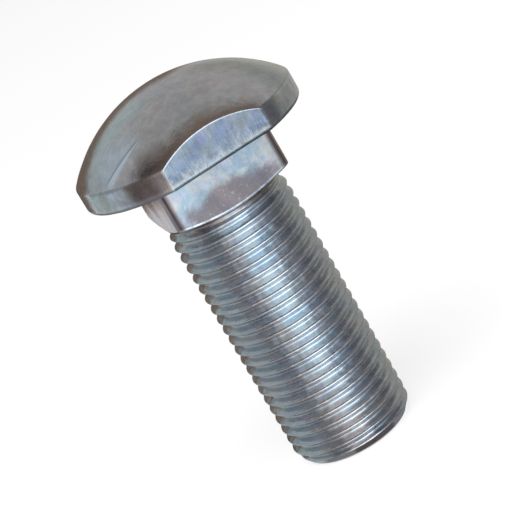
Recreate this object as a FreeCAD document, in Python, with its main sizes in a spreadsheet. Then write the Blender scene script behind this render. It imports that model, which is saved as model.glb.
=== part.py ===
import FreeCAD, Part
import math
import os

import Sketcher

# Wheel bolt: domed head with one clipped flat, square neck and threaded shank, forged and rolled
# as one piece. It stands on the flat end of its shank: the origin is the centre of that end face,
# +Z runs up the shank to the head and the clipped flat faces -Y. Lengths are in millimetres.

Vector = FreeCAD.Vector

NODE = "wheel_bolt"
SHEET_NAME = "Sizes"

# Driving sizes: word, value in millimetres or degrees, and what it is
SIZES = (
    ("thread_diameter", "16", "outside diameter of the thread, M16 x 1.5"),
    ("under_head_length", "41.5", "shank end to the bearing face under the head"),
    ("end_diameter", "13.8", "flat end face of the shank"),
    ("end_chamfer_height", "1.5", "length of the chamfer at the shank's end"),
    ("relief_depth", "0.8", "depth of the plain relief between the thread and the neck"),
    ("relief_length", "0.45", "length of the relief, from the neck to where it widens again"),
    ("relief_fillet", "0.3", "round where the relief meets the neck"),
    ("neck_inset", "0.2", "flats of the square neck, inside the thread's outside"),
    ("neck_corner_radius", "1.1", "round of the neck's four long corners"),
    ("neck_corner_depth", "5.8", "bearing face to the neck's lower corner"),
    ("neck_chamfer_angle", "19", "turned chamfer under the neck, from level"),
    ("neck_root_fillet", "0.5", "round where the neck meets the head"),
    ("head_diameter", "29", "round head"),
    ("land_height", "2.9", "straight side of the head"),
    ("dome_height", "6.7", "rise of the dome above its straight side"),
    ("flat_depth", "1.65", "clipped flat of the head, inside its round side"),
    ("head_edge_round", "0.45", "round of the head's outer edges"),
)

# Expressions used more than once
HALF_THREAD = "Sizes.thread_diameter / 2"
HALF_RELIEF = "(Sizes.thread_diameter / 2 - Sizes.relief_depth)"
HALF_NECK = "(Sizes.thread_diameter / 2 - Sizes.neck_inset)"
HALF_HEAD = "Sizes.head_diameter / 2"
FLAT_REACH = "(Sizes.head_diameter / 2 - Sizes.flat_depth)"
BEARING = "Sizes.under_head_length"
CORNER_REACH = f"({HALF_NECK} * sqrt(2) - (sqrt(2) - 1) * Sizes.neck_corner_radius)"
CHAMFER_SLOPE = "tan(Sizes.neck_chamfer_angle * 1deg)"
NECK_FOOT = (
    f"({BEARING} - Sizes.neck_corner_depth - ({CORNER_REACH} - {HALF_RELIEF}) * {CHAMFER_SLOPE})"
)

# How far the neck's blank and the cutting profiles run past what they meet
NECK_OVERRUN = 3.0
CUT_MARGIN = 2.0

NEAR = 1e-4


def add_sheet(doc):
    """Write the driving sizes into a sheet, one row each."""
    sheet = doc.addObject("Spreadsheet::Sheet", SHEET_NAME)
    for row, (word, value, meaning) in enumerate(SIZES, start=1):
        sheet.set(f"A{row}", meaning)
        sheet.set(f"B{row}", value)
        sheet.setAlias(f"B{row}", word)
    doc.recompute()
    return sheet


def size(sheet, word):
    """Read one driving size as a number."""
    return float(sheet.get(word))


def half_neck(sheet):
    """Half of the square neck's width across its flats."""
    return size(sheet, "thread_diameter") / 2 - size(sheet, "neck_inset")


def root_height(sheet):
    """Height at which the neck's turned chamfer runs into the relief."""
    half = half_neck(sheet)
    rounding = size(sheet, "neck_corner_radius")
    reach = half * math.sqrt(2) - (math.sqrt(2) - 1) * rounding
    relief = size(sheet, "thread_diameter") / 2 - size(sheet, "relief_depth")
    slope = math.tan(math.radians(size(sheet, "neck_chamfer_angle")))
    corner = size(sheet, "under_head_length") - size(sheet, "neck_corner_depth")
    return corner - (reach - relief) * slope


def origin_plane(body, role):
    """Find one of the body's own base planes by its role."""
    for feature in body.Origin.OriginFeatures:
        if feature.Role == role:
            return feature
    raise ValueError(f"no base plane {role}")


def add_sketch(body, name, role):
    """Start a sketch on one of the body's base planes."""
    sketch = body.newObject("Sketcher::SketchObject", name)
    sketch.AttachmentSupport = [(origin_plane(body, role), "")]
    sketch.MapMode = "FlatFace"
    return sketch


def bind(sketch, kind, index, point, word, start, expression):
    """Tie one coordinate of a sketch point to an expression, with a first value."""
    constraint = Sketcher.Constraint(kind, -1, 1, index, point, start)
    number = sketch.addConstraint(constraint)
    sketch.renameConstraint(number, word)
    sketch.setExpression(f"Constraints.{word}", expression)


def place_point(sketch, index, point, word, corner):
    """Tie both coordinates of a sketch point. A corner is x, y and their expressions."""
    x, y, x_rule, y_rule = corner
    if x_rule is None:
        sketch.addConstraint(Sketcher.Constraint("PointOnObject", index, point, -2))
    else:
        bind(sketch, "DistanceX", index, point, word + "_across", x, x_rule)
    if y_rule is None:
        sketch.addConstraint(Sketcher.Constraint("PointOnObject", index, point, -1))
    else:
        bind(sketch, "DistanceY", index, point, word + "_up", y, y_rule)


def add_outline(sketch, corners):
    """Draw a closed outline of straight lines through named corners."""
    names = list(corners)
    count = len(names)
    for number, name in enumerate(names):
        here = corners[name]
        there = corners[names[(number + 1) % count]]
        line = Part.LineSegment(Vector(here[0], here[1], 0), Vector(there[0], there[1], 0))
        sketch.addGeometry(line, False)
    for number in range(count):
        following = (number + 1) % count
        sketch.addConstraint(Sketcher.Constraint("Coincident", number, 2, following, 1))
    for number, name in enumerate(names):
        place_point(sketch, number, 1, name, corners[name])


def add_turned(body, kind, name, sketch):
    """Turn a profile once round the bolt's axis, adding to the body or cutting it."""
    feature = body.newObject(f"PartDesign::{kind}", name)
    feature.Profile = sketch
    feature.ReferenceAxis = (sketch, ["V_Axis"])
    feature.Angle = 360.0
    return feature


def add_fillet(body, name, base, edges, word):
    """Round the given edges of a feature by a driving size."""
    fillet = body.newObject("PartDesign::Fillet", name)
    fillet.Base = (base, edges)
    fillet.setExpression("Radius", f"Sizes.{word}")
    return fillet


def edge_names(shape, wanted):
    """Names of the edges that pass a test."""
    return [f"Edge{number}" for number, edge in enumerate(shape.Edges, start=1) if wanted(edge)]


def circle_of(edge):
    """The edge's circle, or nothing for a pole or any other curve."""
    if edge.Degenerated:
        return None
    curve = edge.Curve
    return curve if isinstance(curve, Part.Circle) else None


def expect_change(feature, before, more):
    """Stop when a feature that must add or cut has done nothing."""
    after = feature.Shape.Volume
    changed = after > before if more else after < before
    if not changed:
        raise RuntimeError(f"{feature.Name} left the volume at {after:.3f}")
    return after


def add_neck(doc, body, sheet):
    """Square neck with round corners and a turned chamfer below."""
    half = half_neck(sheet)
    bearing = size(sheet, "under_head_length")
    depth = size(sheet, "neck_corner_depth")

    square = add_sketch(body, "NeckSquare", "XY_Plane")
    corners = {
        "front_left": (-half, -half, f"-{HALF_NECK}", f"-{HALF_NECK}"),
        "front_right": (half, -half, HALF_NECK, f"-{HALF_NECK}"),
        "back_right": (half, half, HALF_NECK, HALF_NECK),
        "back_left": (-half, half, f"-{HALF_NECK}", HALF_NECK),
    }
    add_outline(square, corners)
    square.setExpression(
        "AttachmentOffset.Base.z",
        f"{BEARING} - Sizes.neck_corner_depth - {NECK_OVERRUN}",
    )
    doc.recompute()

    blank = body.newObject("PartDesign::Pad", "NeckBlank")
    blank.Profile = square
    blank.setExpression("Length", f"Sizes.neck_corner_depth + {NECK_OVERRUN}")
    doc.recompute()

    def upright(edge):
        ends = edge.Vertexes
        level = abs(ends[0].Point.z - ends[-1].Point.z)
        return level > CUT_MARGIN

    corner_edges = edge_names(blank.Shape, upright)
    rounded = add_fillet(body, "NeckCorners", blank, corner_edges, "neck_corner_radius")
    doc.recompute()
    before = rounded.Shape.Volume

    profile = add_sketch(body, "NeckChamferProfile", "XZ_Plane")
    reach = half * 2
    low = bearing - depth - 2 * NECK_OVERRUN
    level = bearing - depth
    reach_rule = f"{CORNER_REACH} + {CUT_MARGIN}"
    low_rule = f"{BEARING} - Sizes.neck_corner_depth - {2 * NECK_OVERRUN}"
    centre_rule = f"{BEARING} - Sizes.neck_corner_depth - {CORNER_REACH} * {CHAMFER_SLOPE}"
    outer_rule = f"{BEARING} - Sizes.neck_corner_depth + {CUT_MARGIN} * {CHAMFER_SLOPE}"
    add_outline(profile, {
        "inner_low": (0, low, None, low_rule),
        "outer_low": (reach, low, reach_rule, low_rule),
        "outer_high": (reach, level, reach_rule, outer_rule),
        "inner_high": (0, level - CUT_MARGIN, None, centre_rule),
    })
    doc.recompute()

    cone = add_turned(body, "Groove", "NeckChamfer", profile)
    doc.recompute()
    expect_change(cone, before, more=False)
    return cone


def add_shank(doc, body, sheet, base):
    """Shank at the thread's outside diameter, with end chamfer and relief."""
    bearing = size(sheet, "under_head_length")
    radius = size(sheet, "thread_diameter") / 2
    relief = radius - size(sheet, "relief_depth")
    start = bearing - 2 * size(sheet, "neck_corner_depth")
    profile = add_sketch(body, "ShankProfile", "XZ_Plane")
    top_rule = f"{BEARING} - Sizes.neck_corner_depth / 2"
    start_rule = f"{NECK_FOOT} - Sizes.relief_length"
    add_outline(profile, {
        "end_centre": (0, 0, None, None),
        "end_edge": (radius - 1, 0, "Sizes.end_diameter / 2", None),
        "chamfer_top": (radius, 1, HALF_THREAD, "Sizes.end_chamfer_height"),
        "thread_top": (radius, start - 1, HALF_THREAD, f"{start_rule} - Sizes.relief_depth"),
        "relief_low": (relief, start, HALF_RELIEF, start_rule),
        "relief_high": (relief, bearing - 3, HALF_RELIEF, top_rule),
        "core_top": (0, bearing - 3, None, top_rule),
    })
    doc.recompute()
    before = base.Shape.Volume
    shank = add_turned(body, "Revolution", "Shank", profile)
    doc.recompute()
    expect_change(shank, before, more=True)
    return shank


def add_dome_profile(body, sheet):
    """Half section of the head: bearing face, straight side and domed top."""
    bearing = size(sheet, "under_head_length")
    radius = size(sheet, "head_diameter") / 2
    land = bearing + size(sheet, "land_height")
    rise = size(sheet, "dome_height")
    top = land + rise
    sphere = (radius * radius + rise * rise) / (2 * rise)

    profile = add_sketch(body, "HeadProfile", "XZ_Plane")
    points = (
        Vector(0, top, 0),
        Vector(0, bearing, 0),
        Vector(radius, bearing, 0),
        Vector(radius, land, 0),
    )
    for first, second in zip(points, points[1:]):
        profile.addGeometry(Part.LineSegment(first, second), False)
    circle = Part.Circle(Vector(0, top - sphere, 0), Vector(0, 0, 1), sphere)
    first_angle = FreeCAD.Vector(1, 0, 0).getAngle(Vector(radius, land - top + sphere, 0))
    quarter_turn = FreeCAD.Vector(1, 0, 0).getAngle(Vector(0, 1, 0))
    profile.addGeometry(Part.ArcOfCircle(circle, first_angle, quarter_turn), False)
    profile.addConstraint(Sketcher.Constraint("Coincident", 0, 2, 1, 1))
    profile.addConstraint(Sketcher.Constraint("Coincident", 1, 2, 2, 1))
    profile.addConstraint(Sketcher.Constraint("Coincident", 2, 2, 3, 1))
    profile.addConstraint(Sketcher.Constraint("Coincident", 3, 2, 0, 1))
    profile.addConstraint(Sketcher.Constraint("PointOnObject", 3, 3, -2))
    land_rule = f"{BEARING} + Sizes.land_height"
    top_rule = f"{land_rule} + Sizes.dome_height"
    place_point(profile, 0, 1, "dome_top", (0, top, None, top_rule))
    place_point(profile, 1, 1, "bearing_centre", (0, bearing, None, BEARING))
    place_point(profile, 2, 1, "rim", (radius, bearing, HALF_HEAD, BEARING))
    place_point(profile, 3, 1, "shoulder", (radius, land, HALF_HEAD, land_rule))
    return profile


def add_head(doc, body, sheet, base):
    """Domed head with rounded rims and one clipped flat."""
    profile = add_dome_profile(body, sheet)
    doc.recompute()
    before = base.Shape.Volume
    head = add_turned(body, "Revolution", "Head", profile)
    doc.recompute()
    expect_change(head, before, more=True)

    before = head.Shape.Volume

    radius = size(sheet, "head_diameter") / 2
    outside = add_sketch(body, "FlatOutline", "XY_Plane")
    reach = radius + CUT_MARGIN
    cut = radius - size(sheet, "flat_depth")
    reach_rule = f"{HALF_HEAD} + {CUT_MARGIN}"
    add_outline(outside, {
        "outer_left": (-reach, -reach, f"-({reach_rule})", f"-({reach_rule})"),
        "outer_right": (reach, -reach, reach_rule, f"-({reach_rule})"),
        "flat_right": (reach, -cut, reach_rule, f"-{FLAT_REACH}"),
        "flat_left": (-reach, -cut, f"-({reach_rule})", f"-{FLAT_REACH}"),
    })
    outside.setExpression("AttachmentOffset.Base.z", f"{BEARING} - {CUT_MARGIN}")
    doc.recompute()
    flat = body.newObject("PartDesign::Pocket", "HeadFlat")
    flat.Profile = outside
    flat.Reversed = True
    height_rule = f"Sizes.land_height + Sizes.dome_height + {2 * CUT_MARGIN}"
    flat.setExpression("Length", height_rule)
    doc.recompute()
    expect_change(flat, before, more=False)

    def outer_edge(edge):
        corners = [vertex.Point for vertex in edge.Vertexes]
        far = all(math.hypot(corner.x, corner.y) > cut - NEAR for corner in corners)
        level = abs(corners[0].z - corners[-1].z) < NEAR
        on_flat = all(abs(corner.y + cut) < NEAR for corner in corners)
        return far and (level or on_flat)

    outer_edges = edge_names(flat.Shape, outer_edge)
    rounded = add_fillet(body, "HeadEdges", flat, outer_edges, "head_edge_round")
    doc.recompute()
    return rounded


def add_root_fillets(doc, body, sheet, base):
    """Rounds where the neck meets the head and where the relief meets the neck."""
    bearing = size(sheet, "under_head_length")
    limit = half_neck(sheet) * math.sqrt(2) + NEAR
    relief = size(sheet, "thread_diameter") / 2 - size(sheet, "relief_depth")
    foot = root_height(sheet)

    def under_head(edge):
        level = all(abs(vertex.Point.z - bearing) < NEAR for vertex in edge.Vertexes)
        inside = all(math.hypot(vertex.Point.x, vertex.Point.y) < limit for vertex in edge.Vertexes)
        return level and inside

    root_edges = edge_names(base.Shape, under_head)
    root = add_fillet(body, "NeckRoot", base, root_edges, "neck_root_fillet")
    doc.recompute()

    def at_relief(edge):
        circle = circle_of(edge)
        if circle is None:
            return False
        same_radius = abs(circle.Radius - relief) < NEAR
        return same_radius and abs(circle.Center.z - foot) < NEAR

    relief_edges = edge_names(root.Shape, at_relief)
    relief_round = add_fillet(body, "ReliefRound", root, relief_edges, "relief_fillet")
    doc.recompute()
    return relief_round


def check_document(doc):
    """Every object must be free of errors and every shape valid."""
    for item in doc.Objects:
        if "Invalid" in item.State or "Error" in item.State:
            raise RuntimeError(f"{item.Name} is {item.State}")
        shape = getattr(item, "Shape", None)
        is_feature = item.isDerivedFrom("PartDesign::Feature") or item.TypeId == "PartDesign::Body"
        if is_feature and (shape is None or shape.isNull() or not shape.isValid()):
            raise RuntimeError(f"{item.Name} has no valid shape")


def main():
    """Build the bolt and write its one solid."""
    doc = FreeCAD.newDocument("WheelBolt")
    sheet = add_sheet(doc)
    body = doc.addObject("PartDesign::Body", "WheelBolt")
    body.Label = NODE
    body.Placement = FreeCAD.Placement()

    neck = add_neck(doc, body, sheet)
    shank = add_shank(doc, body, sheet, neck)
    head = add_head(doc, body, sheet, shank)
    finished = add_root_fillets(doc, body, sheet, head)
    body.Tip = finished
    doc.recompute()
    check_document(doc)

    shape = body.Shape
    if len(shape.Solids) != 1:
        raise RuntimeError(f"{len(shape.Solids)} solids in place of one")
    box = shape.optimalBoundingBox()
    print(f"{NODE}: {shape.Volume:.1f} mm3, {len(shape.Faces)} faces")
    print(f"x {box.XMin:.3f} {box.XMax:.3f} y {box.YMin:.3f} {box.YMax:.3f} z {box.ZMin:.3f} {box.ZMax:.3f}")
    os.makedirs("parts", exist_ok=True)
    shape.exportStep(os.path.join("parts", body.Label + ".step"))


main()
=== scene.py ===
import logging
import math
from collections.abc import Iterable
from dataclasses import dataclass, field
from enum import Enum

import bmesh
import bpy
import numpy as np
from mathutils import Matrix, Vector


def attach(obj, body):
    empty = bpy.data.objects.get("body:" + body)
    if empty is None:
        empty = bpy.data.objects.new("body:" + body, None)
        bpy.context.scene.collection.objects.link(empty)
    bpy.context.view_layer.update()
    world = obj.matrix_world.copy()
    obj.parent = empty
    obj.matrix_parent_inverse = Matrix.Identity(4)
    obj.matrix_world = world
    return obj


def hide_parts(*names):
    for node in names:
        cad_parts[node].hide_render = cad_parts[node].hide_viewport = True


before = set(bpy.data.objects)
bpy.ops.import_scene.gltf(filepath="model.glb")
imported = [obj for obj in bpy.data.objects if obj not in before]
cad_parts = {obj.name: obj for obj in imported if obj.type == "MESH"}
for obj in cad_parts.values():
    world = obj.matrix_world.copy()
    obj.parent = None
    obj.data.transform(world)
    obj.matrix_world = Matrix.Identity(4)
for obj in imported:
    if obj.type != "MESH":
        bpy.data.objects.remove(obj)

# Looks of a zinc-plated wheel bolt: domed head with one clipped flat, square neck, rolled thread.
# The bolt stands on the end of its shank, +Z up, the clipped flat faces -Y. Sizes in millimetres
# until a mesh is written, then metres.

LOG = logging.getLogger("wheel_bolt")
MM = 0.001
NODE = "wheel_bolt"
BODY = "root"
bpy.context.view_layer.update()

Rgb = tuple[float, float, float]
Span = tuple[float, float]
Row = tuple[np.ndarray, np.ndarray]
Socket = bpy.types.NodeSocket


class Zone(Enum):
    """Parts of the bolt's one surface that look different."""

    END = 0
    THREAD = 1
    NECK = 2
    BEARING = 3
    SIDE = 4
    FLAT = 5
    DOME = 6


def smooth_min(first: np.ndarray, second: np.ndarray, width: float) -> np.ndarray:
    """Take the smaller of two lengths, with a round where they meet.

    Args:
        first: lengths.
        second: lengths of the same shape.
        width: how far from the meeting point the round begins.

    Returns:
        The rounded smaller length, never above either.
    """
    share = np.clip(0.5 + 0.5 * (second - first) / width, 0.0, 1.0)
    mixed = second * (1.0 - share) + first * share
    return mixed - width * share * (1.0 - share)


def bend(start: Row, corner: Row, end: Row, steps: int) -> list[Row]:
    """Round a corner of the section with a curve.

    Args:
        start: radius and height where the round begins, per column.
        corner: radius and height of the sharp corner.
        end: radius and height where the round ends.
        steps: number of strips in the round.

    Returns:
        The rows of the round, its first and last included.
    """
    rows: list[Row] = []
    for step in range(steps + 1):
        share = step / steps
        weights = ((1 - share) ** 2, 2 * share * (1 - share), share ** 2)
        radius = sum(w * p[0] for w, p in zip(weights, (start, corner, end)))
        height = sum(w * p[1] for w, p in zip(weights, (start, corner, end)))
        rows.append((radius, height))
    return rows


def straight(start: Row, end: Row, shares: Iterable[float]) -> list[Row]:
    """Rows on the straight way between two rows.

    Args:
        start: radii and heights of the first row, itself left out.
        end: radii and heights of the last row, itself left out.
        shares: how far along each new row lies, from 0 to 1.

    Returns:
        The new rows.
    """
    return [(start[0] + (end[0] - start[0]) * share, start[1] + (end[1] - start[1]) * share)
            for share in shares]


def round_the_axis(radius: np.ndarray, angles: np.ndarray, height: np.ndarray) -> np.ndarray:
    """Points at these radii, angles and heights, as three numbers each."""
    return np.stack([radius * np.cos(angles), radius * np.sin(angles), height], axis=-1)


def link_mesh(name: str, points: list[tuple[float, ...]],
              faces: list[tuple[int, ...]]) -> bpy.types.Object:
    """Make a mesh object and link it to the scene.

    Args:
        name: name of the object and of its mesh.
        points: all points, in metres.
        faces: corners of each face.

    Returns:
        The object.
    """
    mesh = bpy.data.meshes.new(name)
    mesh.from_pydata(points, [], faces)
    piece = bpy.data.objects.new(name, mesh)
    bpy.context.scene.collection.objects.link(piece)
    return piece


def heading(azimuth: float, elevation: float) -> Vector:
    """Direction away from the bolt.

    Args:
        azimuth: turn round the bolt in degrees, 0 in front of the flat.
        elevation: rise over the level in degrees.

    Returns:
        The direction, one unit long.
    """
    turn, rise = math.radians(azimuth), math.radians(elevation)
    level = math.cos(rise)
    return Vector((math.sin(turn) * level, -math.cos(turn) * level, math.sin(rise)))


@dataclass
class RolledThread:
    """Right-hand M16 x 1.5 thread on the shank, with its run-out and its start on the chamfer."""

    major: float = 8.0
    root: float = 7.08
    pitch: float = 1.5
    crest_height: float = 1.305
    crest_half: float = 0.094
    root_start: float = 0.625
    softness: float = 0.13
    soft_steps: int = 13
    end_radius: float = 6.9
    chamfer: float = 1.5
    low: float = 0.12
    top: float = 34.088
    relief: float = 7.2
    run_out: float = 2.4
    run_out_loss: float = 0.25
    top_round: float = 0.12
    cone_round: float = 0.08
    snap: float = 0.035
    plain_crest: float = 0.3
    offsets: tuple[float, ...] = (
        -0.75, -0.63, -0.52, -0.38, -0.23, -0.1, 0.0, 0.1, 0.23, 0.38, 0.52, 0.63,
    )

    def rise(self, away: np.ndarray) -> np.ndarray:
        """Height of the thread over its root, from 0 to 1.

        Args:
            away: distance along the axis from the nearest crest.

        Returns:
            The share of the full depth, with rolled rounds at crest and root.
        """
        shifts = np.linspace(-self.softness, self.softness, self.soft_steps)
        total = np.zeros_like(away)
        middle = 0.0
        flank = self.root_start - self.crest_half
        for shift in shifts:
            total += np.clip((self.root_start - np.abs(away + shift)) / flank, 0.0, 1.0)
            middle += min(1.0, (self.root_start - abs(shift)) / flank)
        return total / middle

    def cone(self, height: np.ndarray) -> np.ndarray:
        """Radius of the chamfer at the shank's end, at these heights."""
        return self.end_radius + (self.major - self.end_radius) * height / self.chamfer

    def radius(self, height: np.ndarray, away: np.ndarray) -> np.ndarray:
        """Radius of the thread's surface.

        Args:
            height: height over the end face.
            away: distance along the axis from the nearest crest.

        Returns:
            The radius, inside the chamfer at the end and the relief at the top.
        """
        share = np.clip((height - (self.top - self.run_out)) / self.run_out, 0.0, 1.0)
        floor = self.root + (self.relief - self.root) * share
        full = floor + (self.major - floor) * self.rise(away) * (1.0 - self.run_out_loss * share)
        last = np.minimum(self.major, self.relief + (self.top - height))
        limited = np.maximum(smooth_min(full, last, self.top_round), 0.0)
        limited = np.where(height >= self.top, self.relief, limited)
        cone = self.cone(height)
        return np.where(height <= self.low, cone, smooth_min(limited, cone, self.cone_round))

    def grid(self, angles: np.ndarray) -> tuple[np.ndarray, np.ndarray, int]:
        """Points of the thread, in rows that climb with the helix.

        Args:
            angles: the columns' angles, from 0 up to a full turn.

        Returns:
            Points as rows by columns by three, the crest share of each point, and how many
            rows make one pitch.
        """
        count = len(self.offsets)
        first = math.floor((self.low - 2 * self.pitch - self.crest_height) / self.pitch)
        last = math.ceil((self.top + self.pitch - self.crest_height) / self.pitch)
        bases: list[float] = []
        aways: list[float] = []
        for turn in range(first, last + 1):
            for offset in self.offsets:
                bases.append(self.crest_height + turn * self.pitch + offset)
                aways.append(offset)
        climb = self.pitch * angles / (2 * math.pi)
        height = np.array(bases)[:, None] + climb[None, :]
        height = np.where(height < self.low + self.snap, self.low, height)
        height = np.where(height > self.top - self.snap, self.top, height)
        away = np.repeat(np.array(aways)[:, None], len(angles), axis=1)
        radius = self.radius(height, away)
        points = round_the_axis(radius, angles, height)
        inside = (height > self.low) & (height < self.top)
        depth = (radius - self.root) / (self.major - self.root)
        crest = np.where(inside, depth, self.plain_crest)
        return points, np.clip(crest, 0.0, 1.0), count


@dataclass
class ForgedBlank:
    """Everything of the bolt above its thread: relief, square neck, head."""

    foot: float = 34.538
    relief: float = 7.2
    chamfer_angle: float = 19.0
    relief_round: float = 0.28
    half_neck: float = 7.8
    neck_corner: float = 1.1
    neck_edge: float = 0.28
    bearing: float = 41.5
    root_round: float = 0.5
    half_head: float = 14.5
    land: float = 2.9
    dome: float = 6.7
    flat_reach: float = 12.85
    flat_angle: float = -90.0
    rim_round: float = 0.5
    side_round: float = 0.62
    flat_round: float = 0.26
    flat_corner: float = 0.1
    fade: float = 0.05
    flat_fade: float = 0.03
    chamfer_shares: tuple[float, ...] = (0.25, 0.5, 0.75, 0.96)
    neck_rows: int = 8
    bearing_rows: int = 5
    side_rows: int = 6
    shoulder_rows: int = 5
    dome_rows: int = 24

    @property
    def sphere(self) -> float:
        """Radius of the dome."""
        return (self.half_head ** 2 + self.dome ** 2) / (2 * self.dome)

    @property
    def top(self) -> float:
        """Height of the dome's top."""
        return self.bearing + self.land + self.dome

    def neck_radius(self, angles: np.ndarray) -> np.ndarray:
        """Distance from the axis to the round-cornered square.

        Args:
            angles: the columns' angles.

        Returns:
            The distance in each column.
        """
        quarter = math.pi / 2
        turned = np.mod(angles + quarter / 2, quarter) - quarter / 2
        flat = self.half_neck / np.cos(turned)
        inner = (self.half_neck - self.neck_corner) * math.sqrt(2)
        off = quarter / 2 - np.abs(turned)
        inside = np.maximum(self.neck_corner ** 2 - (inner * np.sin(off)) ** 2, 0.0)
        corner = inner * np.cos(off) + np.sqrt(inside)
        tangent = math.atan2(self.half_neck - self.neck_corner, self.half_neck)
        return np.where(np.abs(turned) > tangent, corner, flat)

    def off_flat(self, angles: np.ndarray) -> np.ndarray:
        """Turn from the middle of the clipped flat, up to half a turn either way."""
        away = angles - math.radians(self.flat_angle) + math.pi
        return np.mod(away, 2 * math.pi) - math.pi

    def head_radius(self, angles: np.ndarray) -> np.ndarray:
        """Distance from the axis to the head's side or its clipped flat.

        Args:
            angles: the columns' angles.

        Returns:
            The distance in each column.
        """
        facing = np.maximum(np.cos(self.off_flat(angles)), 0.2)
        clipped = np.minimum(self.flat_reach / facing, 2 * self.half_head)
        whole = np.full_like(angles, self.half_head)
        return smooth_min(whole, clipped, self.flat_corner)

    def flat_share(self, angles: np.ndarray) -> np.ndarray:
        """How much each column lies on the clipped flat, from 0 to 1."""
        edge = math.acos(self.flat_reach / self.half_head) + self.flat_fade / 2
        return np.clip((edge - np.abs(self.off_flat(angles))) / self.flat_fade, 0.0, 1.0)

    def chamfer_height(self, radius: np.ndarray) -> np.ndarray:
        """Height of the turned chamfer under the neck at these radii."""
        return self.foot + (radius - self.relief) * math.tan(math.radians(self.chamfer_angle))

    def sections(self, angles: np.ndarray) -> list[tuple[Row, Zone, float]]:
        """Rows of the surface from the relief to the dome.

        Args:
            angles: the columns' angles.

        Returns:
            For each row its radii and heights, the zone of the strip that starts there, and
            how much it belongs to a rounded edge.
        """
        ones = np.ones_like(angles)
        neck = self.neck_radius(angles)
        head = self.head_radius(angles)
        share = self.flat_share(angles)
        rows: list[tuple[Row, Zone, float]] = []

        def add(found: list[Row], zone: Zone, edge: float) -> None:
            """Append rows of one zone."""
            rows.extend((row, zone, edge) for row in found)

        def way(parts: int) -> np.ndarray:
            """Shares that cut a straight way into equal parts."""
            return np.arange(1, parts) / parts

        reach = self.relief + self.relief_round * ones
        relief_corner = (self.relief * ones, self.foot * ones)
        relief_start = (self.relief * ones, (self.foot - self.relief_round) * ones)
        relief_end = (reach, self.chamfer_height(reach))
        add(bend(relief_start, relief_corner, relief_end, steps=3), Zone.NECK, 0.0)

        inner = neck - self.neck_edge
        low_corner = (neck, self.chamfer_height(neck))
        low_start = (inner, self.chamfer_height(inner))
        low_end = (neck, low_corner[1] + self.neck_edge)
        add(straight(relief_end, low_start, self.chamfer_shares), Zone.NECK, 0.0)
        add(bend(low_start, low_corner, low_end, steps=5), Zone.NECK, 1.0)

        bearing = self.bearing * ones
        root_start = (neck, bearing - self.root_round)
        root_end = (neck + self.root_round, bearing)
        add([(neck, low_end[1] + self.fade)], Zone.NECK, 0.0)
        add(straight(low_end, root_start, way(self.neck_rows)), Zone.NECK, 0.0)
        add(bend(root_start, (neck, bearing), root_end, steps=4), Zone.NECK, 0.0)

        rim_start = (head - self.rim_round, bearing)
        rim_end = (head, bearing + self.rim_round)
        add(straight(root_end, rim_start, way(self.bearing_rows)), Zone.BEARING, 0.0)
        add(bend(rim_start, (head, bearing), rim_end, steps=5), Zone.SIDE, 1.0)

        rounding = self.side_round + (self.flat_round - self.side_round) * share
        centre_height = self.top - self.sphere
        inner_head = head - rounding
        lift = np.sqrt((self.sphere - rounding) ** 2 - inner_head ** 2)
        side_top = centre_height + lift
        add(straight(rim_end, (head, side_top), way(self.side_rows)), Zone.SIDE, 0.0)
        add([(head, side_top - self.fade)], Zone.SIDE, 0.0)
        end_angle = np.arctan2(lift, inner_head)
        shoulder: list[Row] = []
        for step in range(self.shoulder_rows + 1):
            turn = end_angle * step / self.shoulder_rows
            radius = inner_head + rounding * np.cos(turn)
            shoulder.append((radius, side_top + rounding * np.sin(turn)))
        add(shoulder[:-1], Zone.SIDE, 1.0)
        add(shoulder[-1:], Zone.DOME, 1.0)

        for share_up in way(self.dome_rows):
            turn = end_angle + (math.pi / 2 - end_angle) * share_up
            radius = self.sphere * np.cos(turn)
            add([(radius, centre_height + self.sphere * np.sin(turn))], Zone.DOME, 0.0)
        return rows

    def hand_of_the_forge(self, points: np.ndarray, depth: float) -> np.ndarray:
        """Push the forged faces in a little, in slow waves, so that none is a perfect mirror.

        Args:
            points: points of the surface, rows by three.
            depth: how far the deepest wave goes in.

        Returns:
            The points, never further out than before.
        """
        x, y, z = points[..., 0], points[..., 1], points[..., 2]
        wave = (
            np.sin(0.83 * x + 0.4 * z + 1.1) * np.sin(0.71 * y - 0.52 * z + 0.3)
            + 0.6 * np.sin(1.9 * x - 1.2 * y + 0.9 * z)
            + 0.4 * np.sin(2.7 * y + 1.6 * z + 2.0)
        )
        inward = 1.0 - depth * (wave / 4.0 + 0.5) / np.maximum(np.hypot(x, y), 4.0)
        moved = points.copy()
        moved[..., 0] = x * inward
        moved[..., 1] = y * inward
        return moved


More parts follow.
